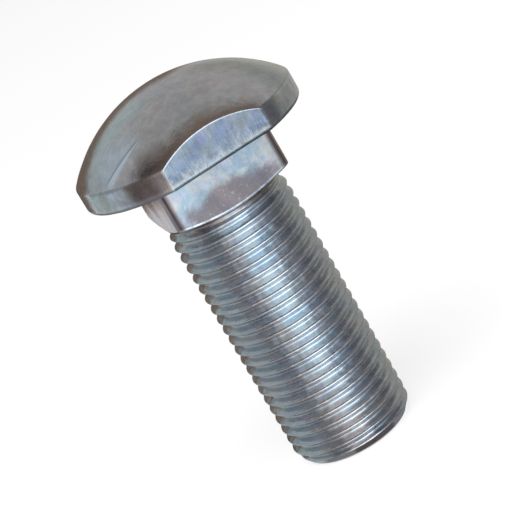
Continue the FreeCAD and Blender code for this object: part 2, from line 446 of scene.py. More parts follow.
@dataclass
class Skin:
    """The bolt's surface as it grows, in millimetres."""

    angles: np.ndarray
    points: list[np.ndarray] = field(default_factory=list)
    edges: list[np.ndarray] = field(default_factory=list)
    crests: list[np.ndarray] = field(default_factory=list)
    faces: list[tuple[int, ...]] = field(default_factory=list)
    zones: list[int] = field(default_factory=list)
    total: int = 0

    def add(self, points: np.ndarray, edge: float, crest: float | np.ndarray) -> int:
        """Add points.

        Args:
            points: the new points, one per row.
            edge: how much they belong to a rounded edge.
            crest: how high they lie on the thread, one value or one for each.

        Returns:
            The number of the first new point.
        """
        count = len(points)
        self.points.append(points)
        self.edges.append(np.full(count, edge))
        self.crests.append(np.broadcast_to(crest, (count,)))
        self.total += count
        return self.total - count

    def face(self, corners: tuple[int, ...], zone: Zone) -> None:
        """Add one face of a zone."""
        self.faces.append(corners)
        self.zones.append(zone.value)

    def strip(self, low: int, high: int, zones: list[Zone]) -> None:
        """Join two rows of points.

        Args:
            low: number of the lower row's first point.
            high: number of the upper row's first point.
            zones: zone of each column.
        """
        for column, zone in enumerate(zones):
            after = (column + 1) % len(zones)
            self.face((low + column, low + after, high + after, high + column), zone)

    def cap(self, row: int, height: float, zone: Zone) -> None:
        """Close a row of points with a fan round one point on the axis.

        Args:
            row: number of the row's first point.
            height: height of the point on the axis.
            zone: zone of the fan.
        """
        pole = self.add(np.array([[0.0, 0.0, height]]), 0.0, 0.0)
        count = len(self.angles)
        for column in range(count):
            self.face((pole, row + (column + 1) % count, row + column), zone)


@dataclass
class WheelBolt:
    """The whole bolt as one closed surface that stands for the solid."""

    name: str = "wheel_bolt_plated"
    columns: int = 256
    fine_columns: int = 7201
    corner_pull: float = 1.6
    corner_width: float = 4.5
    edge_pull: float = 3.0
    edge_width: float = 1.6
    end_rings: tuple[float, ...] = (1.6, 3.2, 4.8, 6.1)
    end_round: Span = (0.2, 0.07)
    forge_depth: float = 0.05
    blank_crest: float = 0.5
    # Painted shade under the head's rim and in the gap between the neck and the thread.
    rim_reach: float = 0.51
    rim_fade: float = 0.15
    gap_depth: float = 1.6
    gap_fade: float = 1.2
    gap_top: float = 0.3
    gap_radius: float = 8.05
    gap_amount: float = 0.15
    # Painted dark reflection along the neck's four long corners.
    corner_reflection_reach: float = 4.5
    corner_reflection_fade: float = 1.5
    weld: float = 4e-6
    thread: RolledThread = field(default_factory=RolledThread)
    blank: ForgedBlank = field(default_factory=ForgedBlank)

    def angles(self) -> np.ndarray:
        """Angles of the columns, closer at the neck's corners and the flat's ends.

        Returns:
            The angles from 0 up to a full turn.
        """
        fine = np.linspace(0.0, 2 * math.pi, self.fine_columns)
        spread = math.degrees(math.acos(self.blank.flat_reach / self.blank.half_head))
        places = [(corner, self.corner_pull, self.corner_width)
                  for corner in (45.0, 135.0, 225.0, 315.0)]
        places += [(end, self.edge_pull, self.edge_width)
                   for end in (270.0 - spread, 270.0 + spread)]
        density = np.ones_like(fine)
        for place, pull, width in places:
            density += pull * np.exp(-((np.degrees(fine) - place) / width) ** 2)
        total = np.concatenate([[0.0], np.cumsum((density[1:] + density[:-1]) / 2)])
        wanted = np.arange(self.columns) / self.columns * total[-1]
        return np.interp(wanted, total, fine)

    def build(self) -> bpy.types.Object:
        """Make the bolt's mesh.

        Returns:
            The new object, in metres, with a material index per face and four marks per point.
        """
        skin = Skin(self.angles())
        self.add_end(skin)
        self.add_thread(skin)
        self.add_blank(skin)
        return self.to_object(skin)

    def add_end(self, skin: Skin) -> None:
        """Add the flat end of the shank, from its middle out to the thread's first row.

        Args:
            skin: the surface so far.
        """
        ones = np.ones_like(skin.angles)
        edge = self.thread.cone(np.array(self.thread.low))
        start, corner = ((edge - inward) * ones for inward in self.end_round)
        rows: list[Row] = [(radius * ones, 0.0 * ones) for radius in self.end_rings]
        rows += bend((start, 0.0 * ones), (corner, 0.0 * ones),
                     (edge * ones, self.thread.low * ones), steps=3)
        rings = [skin.add(round_the_axis(radius, skin.angles, height), 0.0,
                          self.thread.plain_crest) for radius, height in rows]
        for low, high in zip(rings, rings[1:]):
            skin.strip(low, high, [Zone.END] * self.columns)
        skin.cap(rings[0], 0.0, Zone.END)

    def add_thread(self, skin: Skin) -> None:
        """Add the thread, whose rows meet themselves one pitch higher after a turn.

        Args:
            skin: the surface so far.
        """
        grid, crest, per_pitch = self.thread.grid(skin.angles)
        start = skin.add(grid.reshape(-1, 3), 0.0, crest.reshape(-1))
        count = self.columns
        for level in range(grid.shape[0] - per_pitch - 1):
            for column in range(count):
                turn = per_pitch if column == count - 1 else 0
                after = (column + 1) % count
                corners = (
                    (level, column), (level + turn, after),
                    (level + turn + 1, after), (level + 1, column),
                )
                heights = [grid[corner][2] for corner in corners]
                if max(heights) <= self.thread.low or min(heights) >= self.thread.top:
                    continue
                skin.face(tuple(start + line * count + place for line, place in corners),
                          Zone.THREAD)

    def add_blank(self, skin: Skin) -> None:
        """Add relief, neck and head.

        Args:
            skin: the surface so far.
        """
        ones = np.ones_like(skin.angles)
        head = [Zone.FLAT if share > 0.5 else Zone.SIDE
                for share in self.blank.flat_share(skin.angles)]
        first = round_the_axis(self.blank.relief * ones, skin.angles, self.thread.top * ones)
        previous, kind = skin.add(first, 0.0, self.thread.plain_crest), Zone.NECK
        for (radius, height), zone, edge in self.blank.sections(skin.angles):
            row = round_the_axis(radius, skin.angles, height)
            if height.min() > self.blank.foot:
                row = self.blank.hand_of_the_forge(row, self.forge_depth)
            here = skin.add(row, edge, self.blank_crest)
            skin.strip(previous, here, head if kind is Zone.SIDE else [kind] * self.columns)
            previous, kind = here, zone
        skin.cap(previous, self.blank.top, Zone.DOME)

    def painted_shade(self, points: np.ndarray) -> np.ndarray:
        """Painted shade: a dark band under the head's rim and a weaker one between the neck and
        the thread.

        Args:
            points: all points, in millimetres.

        Returns:
            The share of painted shade at each point.
        """
        height = points[:, 2]
        reach = np.hypot(points[:, 0], points[:, 1])
        bearing, foot = self.blank.bearing, self.blank.foot
        # Painted shade: full under the rim, and a weaker share just above the thread.
        rim = np.clip((self.rim_reach - np.abs(height - bearing)) / self.rim_fade, 0.0, 1.0)
        gap = np.clip((height - (foot - self.gap_depth)) / self.gap_fade, 0.0, 1.0)
        inside = (reach < self.gap_radius) & (height < foot + self.gap_top)
        return np.maximum(rim, self.gap_amount * gap * inside)

    def corner(self, points: np.ndarray) -> np.ndarray:
        """How near each point of the neck is to one of its four long corners, where a dark
        reflection is painted.

        Args:
            points: all points, in millimetres.

        Returns:
            The nearness, from 0 to 1.
        """
        height = points[:, 2]
        turned = np.mod(np.arctan2(points[:, 1], points[:, 0]), math.pi / 2) - math.pi / 4
        off = self.corner_reflection_reach - np.degrees(np.abs(turned))
        inside = (height > self.blank.foot) & (height < self.blank.bearing)
        return np.clip(off / self.corner_reflection_fade, 0.0, 1.0) * inside

    def to_object(self, skin: Skin) -> bpy.types.Object:
        """Write the surface as a clean closed mesh.

        Args:
            skin: the whole surface.

        Returns:
            The linked object.
        """
        points = np.concatenate(skin.points)
        piece = link_mesh(self.name, (points * MM).tolist(), skin.faces)
        mesh = piece.data
        mesh.polygons.foreach_set("material_index", np.array(skin.zones, dtype=np.int32))
        # Marks for painted light: a highlight with the rub on rounded edges, shade under the rim
        # and above the thread, and a dark reflection on the neck's corners. Crest also carries
        # dirt and painted shade in the roots.
        marks = {"edge": np.concatenate(skin.edges), "crest": np.concatenate(skin.crests),
                 "painted_shade": self.painted_shade(points), "corner": self.corner(points)}
        for word, values in marks.items():
            layer = mesh.attributes.new(word, "FLOAT", "POINT")
            layer.data.foreach_set("value", values.astype(np.float32))
        work = bmesh.new()
        work.from_mesh(mesh)
        bmesh.ops.remove_doubles(work, verts=work.verts, dist=self.weld)
        bmesh.ops.dissolve_degenerate(work, edges=work.edges, dist=1e-7)
        bmesh.ops.recalc_face_normals(work, faces=work.faces)
        work.to_mesh(mesh)
        open_edges = sum(1 for edge in work.edges if len(edge.link_faces) != 2)
        LOG.info("%s: %d faces, %d open edges", self.name, len(work.faces), open_edges)
        work.free()
        for polygon in mesh.polygons:
            polygon.use_smooth = True
        even = piece.modifiers.new("even_shading", "WEIGHTED_NORMAL")
        even.mode = "FACE_AREA"
        even.keep_sharp = False
        return piece

    def dress(self, piece: bpy.types.Object) -> None:
        """Give the bolt its plate, one finish per zone.

        Args:
            piece: the bolt's object.
        """
        groups = {group.name: group.build() for group in (PlateTint(), SatinGrain(), EdgeRubAndHighlight())}
        for zone in Zone:
            piece.data.materials.append(FINISHES[zone].build(groups))


class Sheet:
    """A node tree with short calls to add and join nodes."""

    def __init__(self, tree: bpy.types.NodeTree) -> None:
        """Keep the tree to work on."""
        self.tree = tree

    @classmethod
    def empty(cls, owner: bpy.types.Material | bpy.types.World) -> "Sheet":
        """Clear the nodes of a material or of the surroundings.

        Args:
            owner: what the nodes belong to.

        Returns:
            The sheet of its empty tree.
        """
        owner.use_nodes = True
        owner.node_tree.nodes.clear()
        return cls(owner.node_tree)

    def add(self, kind: str, values: dict[str | int, object] | None = None,
            **settings: object) -> bpy.types.Node:
        """Add one node.

        Args:
            kind: type name of the node.
            values: input names or numbers, each with a value or the socket to join to it.
            settings: properties of the node.

        Returns:
            The node.
        """
        node = self.tree.nodes.new(kind)
        for word, value in settings.items():
            setattr(node, word, value)
        for key, value in (values or {}).items():
            if isinstance(value, Socket):
                self.tree.links.new(value, node.inputs[key])
            else:
                node.inputs[key].default_value = value
        return node

    def join(self, source: Socket, target: Socket) -> None:
        """Join two sockets."""
        self.tree.links.new(source, target)

    def math(self, operation: str, first: object, second: object = 0.0,
             clamp: bool = False) -> Socket:
        """Add one sum and return its result."""
        return self.add("ShaderNodeMath", {0: first, 1: second}, operation=operation,
                        use_clamp=clamp).outputs[0]

    def times(self, first: object, second: object, clamp: bool = False) -> Socket:
        """Multiply two values and return the result."""
        return self.math("MULTIPLY", first, second, clamp)

    def vector(self, operation: str, first: object,
               second: object = (0.0, 0.0, 0.0)) -> Socket:
        """Add one sum of vectors and return its result, a vector or a number."""
        node = self.add("ShaderNodeVectorMath", {0: first, 1: second}, operation=operation)
        return node.outputs["Value" if operation in ("DOT_PRODUCT", "LENGTH") else "Vector"]

    def mix(self, share: object, first: object, second: object,
            blend: str = "MIX") -> Socket:
        """Mix two colours and return the result."""
        return self.add("ShaderNodeMix", {0: share, 6: first, 7: second}, data_type="RGBA",
                        blend_type=blend).outputs[2]

    def ramp(self, source: Socket, given: Span, wanted: Span = (0.0, 1.0)) -> Socket:
        """Map one range onto another, eased at both ends, and return the result."""
        return self.add("ShaderNodeMapRange", {
            0: source, 1: given[0], 2: given[1], 3: wanted[0], 4: wanted[1]},
            interpolation_type="SMOOTHSTEP").outputs[0]

    def noise(self, place: Socket, scale: object, detail: float, roughness: float,
              distortion: float = 0.0) -> Socket:
        """Add one cloudy noise and return its value."""
        return self.add("ShaderNodeTexNoise", {
            "Vector": place, "Scale": scale, "Detail": detail, "Roughness": roughness,
            "Distortion": distortion}).outputs[0]

    def mark(self, word: str) -> Socket:
        """Read one of the marks that the mesh carries."""
        return self.add("ShaderNodeAttribute", attribute_name=word).outputs["Fac"]

    def finish(self, shader: Socket,
               kind: str = "ShaderNodeOutputMaterial") -> None:
        """Join the last shader to the output."""
        self.add(kind, {"Surface": shader})


def rgba(colour: Rgb) -> tuple[float, float, float, float]:
    """A colour with full cover."""
    return (*colour, 1.0)


def new_group(name: str, inputs: list[tuple[str, str, object]],
              outputs: list[tuple[str, str]]) -> tuple[Sheet, dict[str, Socket], bpy.types.Node]:
    """Start a shader node group with named sockets.

    Args:
        name: name of the group.
        inputs: socket name, kind and first value of each input.
        outputs: socket name and kind of each output.

    Returns:
        The group's sheet, its input sockets by name, and its output node.
    """
    tree = bpy.data.node_groups.new(name, "ShaderNodeTree")
    for word, kind, value in inputs:
        socket = tree.interface.new_socket(name=word, in_out="INPUT",
                                           socket_type="NodeSocket" + kind)
        if value is not None:
            socket.default_value = value
    for word, kind in outputs:
        tree.interface.new_socket(name=word, in_out="OUTPUT", socket_type="NodeSocket" + kind)
    sheet = Sheet(tree)
    entry = sheet.add("NodeGroupInput")
    leave = sheet.add("NodeGroupOutput")
    return sheet, {socket.name: socket for socket in entry.outputs}, leave


@dataclass(frozen=True)
class PlateTint:
    """Node group: the faint blue, lilac and straw clouds of a clear zinc plate."""

    name: str = "plate_tint"
    finer: float = 2.3
    finer_shift: Rgb = (0.013, 0.031, 0.007)
    cool: Span = (0.44, 0.62)
    lilac: Span = (0.54, 0.68)
    straw: Span = (0.46, 0.32)
    mottle_scale: float = 760.0
    mottle: Span = (0.32, 0.68)
    mottle_levels: Span = (0.55, 1.25)

    def build(self) -> bpy.types.NodeTree:
        """Make the group.

        Returns:
            Its node tree.
        """
        sheet, given, leave = new_group(
            self.name,
            [("Vector", "Vector", None), ("Base", "Color", None), ("Cool", "Color", None),
             ("Lilac", "Color", None), ("Straw", "Color", None), ("Amount", "Float", 0.5),
             ("Scale", "Float", 160.0), ("Mottle", "Float", 0.3)],
            [("Color", "Color")],
        )
        place = given["Vector"]
        broad = sheet.noise(place, given["Scale"], detail=3.0, roughness=0.55, distortion=0.6)
        finer = sheet.noise(sheet.vector("ADD", place, self.finer_shift),
                            sheet.times(given["Scale"], self.finer),
                            detail=4.0, roughness=0.6, distortion=0.9)
        colour = given["Base"]
        for cloud, span, word in ((broad, self.cool, "Cool"), (finer, self.lilac, "Lilac"),
                                  (finer, self.straw, "Straw")):
            share = sheet.times(sheet.ramp(cloud, span), given["Amount"])
            colour = sheet.mix(share, colour, given[word])
        fine = sheet.noise(place, self.mottle_scale, detail=6.0, roughness=0.7)
        shade = sheet.ramp(fine, self.mottle, self.mottle_levels)
        colour = sheet.mix(given["Mottle"], colour, shade, "MULTIPLY")
        sheet.join(colour, leave.inputs["Color"])
        return sheet.tree


@dataclass(frozen=True)
class SatinGrain:
    """Node group: fine grain and long faint scratches, as roughness and height."""

    name: str = "satin_grain"
    lines: Span = (0.4, 0.66)
    cloud_scale: float = 210.0
    grain_share: float = 0.45
    cloud_share: float = 0.65
    mixed: Span = (0.3, 0.8)
    lump_scale: float = 640.0

    def build(self) -> bpy.types.NodeTree:
        """Make the group.

        Returns:
            Its node tree.
        """
        sheet, given, leave = new_group(
            self.name,
            [("Vector", "Vector", None), ("Grain Scale", "Float", 2600.0),
             ("Scratch Stretch", "Vector", (900.0, 900.0, 60.0)),
             ("Low", "Float", 0.22), ("High", "Float", 0.42),
             ("Scratch", "Float", 0.5), ("Lump", "Float", 0.3)],
            [("Roughness", "Float"), ("Height", "Float")],
        )
        place = given["Vector"]
        grain = sheet.noise(place, given["Grain Scale"], detail=4.0, roughness=0.62)
        stretched = sheet.vector("MULTIPLY", place, given["Scratch Stretch"])
        scratch = sheet.noise(stretched, 1.0, detail=5.0, roughness=0.7)
        lines = sheet.ramp(scratch, self.lines)
        cloud = sheet.noise(place, self.cloud_scale, detail=3.0, roughness=0.6)
        mixed = sheet.math("ADD", sheet.times(grain, self.grain_share),
                           sheet.times(cloud, self.cloud_share))
        rough = sheet.add("ShaderNodeMapRange", {
            0: mixed, 1: self.mixed[0], 2: self.mixed[1], 3: given["Low"], 4: given["High"]})
        height = sheet.math("ADD", sheet.times(lines, given["Scratch"]), grain)
        lumps = sheet.noise(place, self.lump_scale, detail=1.0, roughness=0.5)
        height = sheet.math("ADD", height, sheet.times(lumps, given["Lump"]))
        sheet.join(rough.outputs[0], leave.inputs["Roughness"])
        sheet.join(height, leave.inputs["Height"])
        return sheet.tree


@dataclass(frozen=True)
class EdgeRubAndHighlight:
    """Node group: bright rubbed metal and a painted highlight on rounded edges, broken up by
    noise.
    """

    name: str = "edge_rub_and_highlight"
    patch_scale: float = 520.0
    patches: Span = (0.28, 0.5)

    def build(self) -> bpy.types.NodeTree:
        """Make the group.

        Returns:
            Its node tree.
        """
        sheet, given, leave = new_group(
            self.name,
            [("Vector", "Vector", None), ("Color", "Color", None), ("Rubbed And Highlight", "Color", None),
             ("Edge", "Float", 0.0), ("Amount", "Float", 0.6)],
            [("Color", "Color")],
        )
        cloud = sheet.noise(given["Vector"], self.patch_scale, detail=4.0, roughness=0.65)
        broken = sheet.ramp(cloud, self.patches)
        mask = sheet.times(sheet.times(given["Edge"], broken), given["Amount"], clamp=True)
        sheet.join(sheet.mix(mask, given["Color"], given["Rubbed And Highlight"]), leave.inputs["Color"])
        return sheet.tree


@dataclass(frozen=True)
class PaintedReflectionLine:
    """Painted reflection on the dome: a faint dark line with a bright highlight band beside it."""

    across: Rgb = (0.2355, 0.9719, 0.0)
    along: Rgb = (-0.9719, 0.2355, 0.0)
    offset: float = -0.00969
    middle: float = 0.00727
    half_length: float = 0.00268
    bow: float = 0.0002
    dark: Rgb = (0.36, 0.40, 0.45)
    highlight_band: Rgb = (0.71, 0.775, 0.825)
    band_width: float = 0.0006
    band_growth: float = 0.0004
    band_amount: float = 0.7
    band_outside: Span = (1.25, 0.75)
    band_inside: Span = (0.0, 0.2)
    line_fade: Span = (0.0002, 0.00008)
    end_fade: Span = (1.2, 0.85)

    def add(self, sheet: Sheet, place: Socket, colour: Socket) -> Socket:
        """Draw the painted reflection: the dark line and its bright band.

        Args:
            sheet: the material's sheet.
            place: the point on the bolt.
            colour: colour so far.

        Returns:
            The new colour.
        """
        side = sheet.vector("DOT_PRODUCT", place, self.across)
        run = sheet.vector("DOT_PRODUCT", place, self.along)
        run = sheet.math("DIVIDE", sheet.math("SUBTRACT", run, self.middle), self.half_length)
        curve = sheet.times(sheet.times(run, run), self.bow)
        side = sheet.math("SUBTRACT", sheet.math("SUBTRACT", side, self.offset), curve)
        within = sheet.ramp(sheet.math("ABSOLUTE", run), self.end_fade)
        width = sheet.math("ADD", sheet.times(run, self.band_growth), self.band_width)
        share = sheet.math("DIVIDE", sheet.times(side, -1.0), width)
        highlight_band = sheet.times(sheet.ramp(share, self.band_outside), sheet.ramp(share, self.band_inside))
        highlight_band = sheet.times(highlight_band, sheet.times(within, self.band_amount))
        colour = sheet.mix(highlight_band, colour, rgba(self.highlight_band))
        line = sheet.ramp(sheet.math("ABSOLUTE", side), self.line_fade)
        return sheet.mix(sheet.times(line, within), colour, rgba(self.dark))


@dataclass(frozen=True)
class PlatedFinish:
    """Zinc plate on one zone of the bolt."""

    name: str
    base: Rgb = (0.40, 0.42, 0.45)
    cool: Rgb = (0.36, 0.42, 0.50)
    lilac: Rgb = (0.44, 0.41, 0.50)
    straw: Rgb = (0.44, 0.42, 0.38)
    # Bright metal for the rounded edges, partly rub and partly painted highlight, and for torn
    # specks.
    rubbed_and_highlight: Rgb = (0.72, 0.74, 0.76)
    tint: float = 0.6
    tint_scale: float = 150.0
    tint_stretch: Rgb = (1.0, 1.0, 1.0)
    mottle: float = 0.35
    grain_scale: float = 2600.0
    stretch: Rgb = (700.0, 700.0, 60.0)
    scratch: float = 0.5
    lump: float = 0.4
    low: float = 0.22
    high: float = 0.42
    # How much rub and painted highlight the rounded edges get.
    rub_and_highlight: float = 0.6
    bump: float = 0.35
    bump_depth: float = 0.00002
    # Dark colour for pits, for dirt and painted shade in the thread's roots, and for the painted
    # shade under the rim and above the thread.
    dirt_and_shade: Rgb = (0.12, 0.10, 0.09)
    root_dirt_and_shade: float = 0.0
    root_dirt_and_shade_depth: Span = (0.62, 0.05)
    # How much painted shade falls under the rim and above the thread.
    painted_shade_amount: float = 0.85
    # Painted dark reflection on the neck's corners, in the patch colour.
    corner_reflection_amount: float = 0.0
    # Brown of a patch with a cloudy edge; on the dome and the head's side the patch is a painted
    # dark reflection beside the flat.
    patch_brown: Rgb = (0.34, 0.27, 0.26)
    patch_amount: float = 0.0
    patch_specks: float = 0.0
    patch_place: Rgb = (-0.0002, -0.0078, 0.0361)
    patch_reach: Rgb = (0.0066, 0.003, 0.0020)
    patch_cloud: float = 420.0
    patch_raggedness: float = 1.2
    patch_edge: Span = (1.9, 1.2)
    speck_scale: float = 3000.0
    specks: Span = (0.56, 0.72)
    speckle: float = 0.0
    torn_specks: Span = (0.5, 0.62)
    torn_pits: Span = (0.46, 0.36)
    torn_lift: float = 3.0
    torn_stretch: Rgb = (1500.0, 1500.0, 900.0)
    torn_heights: Span = (0.0443, 0.0422)
    low_band_heights: Span = (0.0427, 0.0421)
    low_band_amount: float = 0.75
    low_band_brown: Rgb = (0.2, 0.16, 0.135)
    # Painted reflection line on the dome.
    painted_reflection_line: PaintedReflectionLine | None = None

    def build(self, groups: dict[str, bpy.types.NodeTree]) -> bpy.types.Material:
        """Make the material.

        Args:
            groups: the shared node groups by name.

        Returns:
            The material.
        """
        material = bpy.data.materials.new(self.name)
        sheet = Sheet.empty(material)
        place = sheet.add("ShaderNodeTexCoord").outputs["Object"]
        drawn = sheet.vector("MULTIPLY", place, self.tint_stretch)
        tint = sheet.add("ShaderNodeGroup", {
            "Vector": drawn, "Base": rgba(self.base), "Cool": rgba(self.cool),
            "Lilac": rgba(self.lilac), "Straw": rgba(self.straw), "Amount": self.tint,
            "Scale": self.tint_scale, "Mottle": self.mottle}, node_tree=groups["plate_tint"])
        grain = sheet.add("ShaderNodeGroup", {
            "Vector": place, "Grain Scale": self.grain_scale, "Scratch Stretch": self.stretch,
            "Low": self.low, "High": self.high, "Scratch": self.scratch, "Lump": self.lump},
            node_tree=groups["satin_grain"])
        colour, height = tint.outputs["Color"], grain.outputs["Height"]

        # Brown patch; on the dome and the head's side a painted dark reflection beside the flat.
        if self.patch_amount > 0.0:
            colour = self.brown_patch(sheet, place, colour)
        # Painted reflection: a dark line with a bright band on the dome.
        if self.painted_reflection_line is not None:
            colour = self.painted_reflection_line.add(sheet, place, colour)
        # Dirt and painted shade in the thread's roots.
        if self.root_dirt_and_shade > 0.0:
            deep = sheet.ramp(sheet.mark("crest"), self.root_dirt_and_shade_depth)
            deep = sheet.times(deep, self.root_dirt_and_shade)
            colour = sheet.mix(deep, colour, rgba(self.dirt_and_shade))
        # Painted dark reflection along the neck's rounded corners.
        if self.corner_reflection_amount > 0.0:
            corner = sheet.times(sheet.mark("corner"), self.corner_reflection_amount)
            colour = sheet.mix(corner, colour, rgba(self.patch_brown))
        if self.speckle > 0.0:
            colour, height = self.speckled(sheet, place, colour, height)

        # Rubbed metal and a painted highlight on the rounded edges.
        rub_and_highlight = sheet.add("ShaderNodeGroup", {
            "Vector": place, "Color": colour, "Rubbed And Highlight": rgba(self.rubbed_and_highlight),
            "Edge": sheet.mark("edge"), "Amount": self.rub_and_highlight}, node_tree=groups["edge_rub_and_highlight"])
        # Painted shade under the head's rim and just above the thread.
        painted_shade = sheet.times(sheet.mark("painted_shade"), self.painted_shade_amount)
        finished = sheet.mix(painted_shade, rub_and_highlight.outputs["Color"], rgba(self.dirt_and_shade))
        bump = sheet.add("ShaderNodeBump", {"Height": height, "Strength": self.bump,
                                            "Distance": self.bump_depth})
        shader = sheet.add("ShaderNodeBsdfPrincipled", {
            "Base Color": finished, "Roughness": grain.outputs["Roughness"], "Metallic": 1.0,
            "Normal": bump.outputs["Normal"]})
        sheet.finish(shader.outputs["BSDF"])
        return material

    def brown_patch(self, sheet: Sheet, place: Socket, colour: Socket) -> Socket:
        """Add a dull brown patch with a cloudy edge; on the dome and the head's side it is a
        painted dark reflection beside the clipped flat.

        Args:
            sheet: the material's sheet.
            place: the point on the bolt.
            colour: colour so far.

        Returns:
            The new colour.
        """
        centre = sheet.vector("SUBTRACT", place, self.patch_place)
        away = sheet.vector("LENGTH", sheet.vector("DIVIDE", centre, self.patch_reach))
        cloud = sheet.noise(place, self.patch_cloud, detail=4.0, roughness=0.6, distortion=0.5)
        ragged = sheet.math("ADD", away, sheet.times(cloud, self.patch_raggedness))
        mask = sheet.times(sheet.ramp(ragged, self.patch_edge), self.patch_amount)
        fine = sheet.noise(place, self.speck_scale, detail=4.0, roughness=0.7)
        clean = sheet.ramp(fine, self.specks, (1.0, 1.0 - self.patch_specks))
        return sheet.mix(sheet.times(mask, clean), colour, rgba(self.patch_brown))

    def speckled(self, sheet: Sheet, place: Socket, colour: Socket,
                 height: Socket) -> tuple[Socket, Socket]:
        """Add torn specks and a darker brown band along the lower edge of a sheared face.

        Args:
            sheet: the material's sheet.
            place: the point on the bolt.
            colour: colour so far.
            height: height so far.

        Returns:
            The new colour and height.
        """
        stretched = sheet.vector("MULTIPLY", place, self.torn_stretch)
        torn = sheet.noise(stretched, 1.0, detail=5.0, roughness=0.75)
        upright = sheet.add("ShaderNodeSeparateXYZ", {0: place}).outputs["Z"]
        lower = sheet.ramp(upright, self.torn_heights)
        band = sheet.ramp(upright, self.low_band_heights, (0.0, self.low_band_amount))
        colour = sheet.mix(band, colour, rgba(self.low_band_brown))
        specks, pits = (sheet.times(sheet.times(sheet.ramp(torn, span), lower), self.speckle)
                        for span in (self.torn_specks, self.torn_pits))
        colour = sheet.mix(specks, colour, rgba(self.rubbed_and_highlight))
        colour = sheet.mix(pits, colour, rgba(self.dirt_and_shade))
        return colour, sheet.math("ADD", height, sheet.times(specks, self.torn_lift))


FINISHES: dict[Zone, PlatedFinish] = {
    Zone.END: PlatedFinish("zinc_shank_end", tint=0.4, low=0.2, high=0.4),
    Zone.THREAD: PlatedFinish(
        "zinc_rolled_thread", base=(0.55, 0.57, 0.59), cool=(0.43, 0.52, 0.59),
        lilac=(0.49, 0.46, 0.58), straw=(0.56, 0.53, 0.50), tint_scale=220.0,
        tint_stretch=(1.0, 1.0, 3.0), mottle=0.2,
        stretch=(120.0, 120.0, 900.0), scratch=0.8, lump=15.0, low=0.2, high=0.37,
        # Dirt and painted shade in the roots, painted shade just above the thread.
        dirt_and_shade=(0.16, 0.14, 0.135), root_dirt_and_shade=0.06, painted_shade_amount=0.9, bump=0.45),
    Zone.NECK: PlatedFinish(
        "zinc_square_neck", base=(0.43, 0.385, 0.362), cool=(0.265, 0.31, 0.35),
        lilac=(0.40, 0.34, 0.385), tint=0.9, tint_scale=190.0, mottle=0.25, low=0.1,
        # Brown patch; the corner amount paints a dark reflection on the rounded corners and rub
        # adds a painted highlight on the edges.
        high=0.26, patch_brown=(0.155, 0.108, 0.108), patch_amount=0.85, patch_specks=0.6,
        corner_reflection_amount=0.5, rub_and_highlight=0.5),
    Zone.BEARING: PlatedFinish("zinc_bearing_face", low=0.2, high=0.36),
    Zone.SIDE: PlatedFinish(
        "zinc_head_side", base=(0.43, 0.43, 0.43), mottle=0.55, low=0.14, high=0.28, rub_and_highlight=0.2,
        # Painted shade under the rim; the patch is a painted dark reflection beside the flat.
        dirt_and_shade=(0.05, 0.05, 0.055), painted_shade_amount=0.35, patch_brown=(0.24, 0.17, 0.14),
        patch_amount=0.5, patch_place=(-0.0086, -0.0116, 0.0432),
        patch_reach=(0.0032, 0.005, 0.0024)),
    Zone.FLAT: PlatedFinish(
        "zinc_sheared_flat", base=(0.24, 0.25, 0.27), cool=(0.175, 0.20, 0.265),
        lilac=(0.205, 0.19, 0.275), straw=(0.235, 0.23, 0.22), rubbed_and_highlight=(0.42, 0.43, 0.44),
        tint=0.95, tint_scale=330.0, mottle=0.45, stretch=(1600.0, 1600.0, 220.0),
        # Rub with a painted highlight on the edges, painted shade under the rim.
        scratch=1.0, lump=1.0, low=0.18, high=0.34, rub_and_highlight=0.9, speckle=0.5,
        dirt_and_shade=(0.05, 0.05, 0.055), painted_shade_amount=0.9),
    Zone.DOME: PlatedFinish(
        "zinc_forged_dome", base=(0.57, 0.57, 0.57), cool=(0.50, 0.55, 0.585),
        lilac=(0.57, 0.53, 0.58), straw=(0.555, 0.53, 0.49), tint=0.7,
        # Painted reflection line, painted highlight on the edges, painted dark reflection beside
        # the flat.
        tint_scale=130.0, mottle=0.32, painted_reflection_line=PaintedReflectionLine(), low=0.14, high=0.26, rub_and_highlight=0.15, bump=0.6,
        patch_brown=(0.21, 0.15, 0.13), patch_amount=0.45, patch_place=(-0.0072, -0.0118, 0.0452),
        patch_reach=(0.0028, 0.003, 0.0024)),
}


@dataclass(frozen=True)
class Panel:
    """A patch of the light tent, by its direction from the bolt in degrees."""

    name: str
    colour: Rgb
    azimuth: Span
    elevation: Span = (-90.0, 45.0)
    soft: float = 7.0

    def mask(self, sheet: Sheet, azimuth: Socket, elevation: Socket) -> Socket:
        """How much of this panel is seen in a direction.

        Args:
            sheet: the tent's sheet.
            azimuth: direction round the bolt, in degrees, 0 in front of the flat.
            elevation: direction over the level, in degrees.

        Returns:
            The cover, from 0 to 1.
        """
        covers: list[Socket] = []
        for direction, (low, high) in ((azimuth, self.azimuth), (elevation, self.elevation)):
            away = sheet.math("SUBTRACT", direction, (low + high) / 2)
            if direction is azimuth:
                away = sheet.add("ShaderNodeMath", {0: away, 1: 180.0, 2: -180.0},
                                 operation="WRAP").outputs[0]
            half = (high - low) / 2
            edge = (half + self.soft / 2, half - self.soft / 2)
            covers.append(sheet.ramp(sheet.math("ABSOLUTE", away), edge))
        return sheet.times(covers[0], covers[1])


